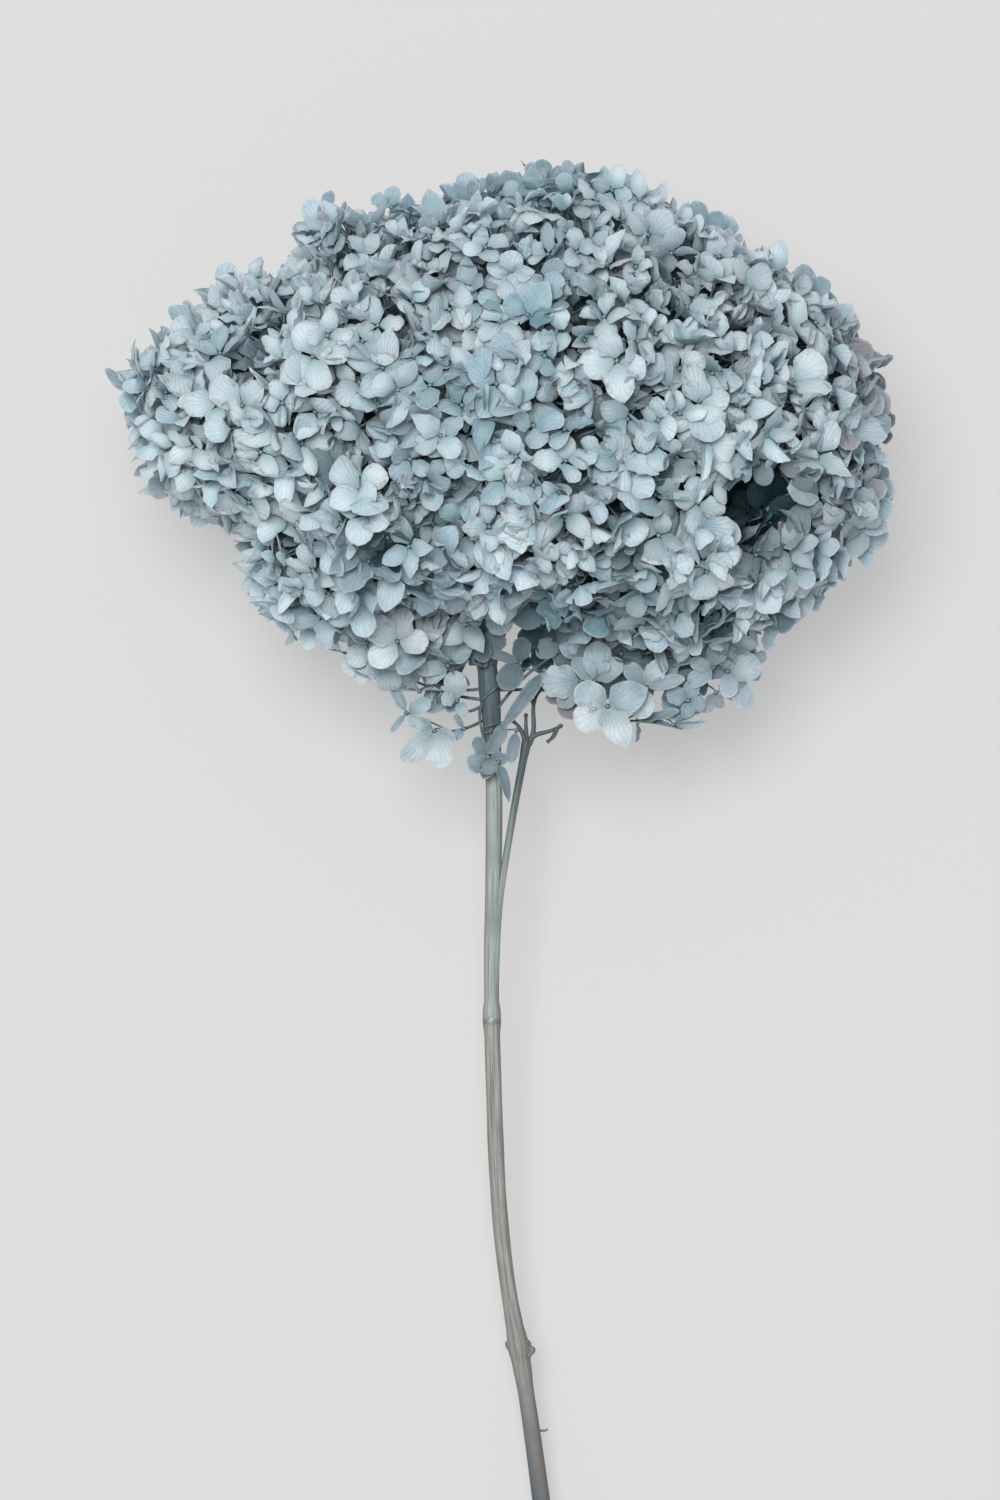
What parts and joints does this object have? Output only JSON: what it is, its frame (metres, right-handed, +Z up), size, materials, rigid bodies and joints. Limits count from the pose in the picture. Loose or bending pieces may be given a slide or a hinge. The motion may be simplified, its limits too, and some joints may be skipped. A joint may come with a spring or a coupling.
{
  "type": "annabelle hydrangea stem",
  "caption": "Preserved hydrangea, cut and lying down: a round head of blue-grey florets on a woody stem, with low sprays and a dry side shoot.",
  "frame": {"origin": "middle of the flat spot under the head, on the surface that the plant lies on", "axes": "+Z up, +Y along the stem towards the head, +X to the right as the picture shows the plant"},
  "size_m": [0.2419, 0.4587, 0.1697],
  "materials": {
    "stem_bark": "dull sage green bark with fine long streaks, greyer below the upper node",
    "shoot_bark": "dry, dark slate green bark",
    "sepal": "soft matt preserved petals, dusty blue with fine veins and teal shade",
    "spray_sepal": "soft matt preserved petals, pale dusty blue with fine veins"
  },
  "bodies": {
    "root": {"stem": "stem_bark", "side_shoot": "shoot_bark", "flower_head": "sepal", "left_spray": "spray_sepal", "right_spray": "spray_sepal", "stem_spray": "spray_sepal"}
  },
  "joints": []
}
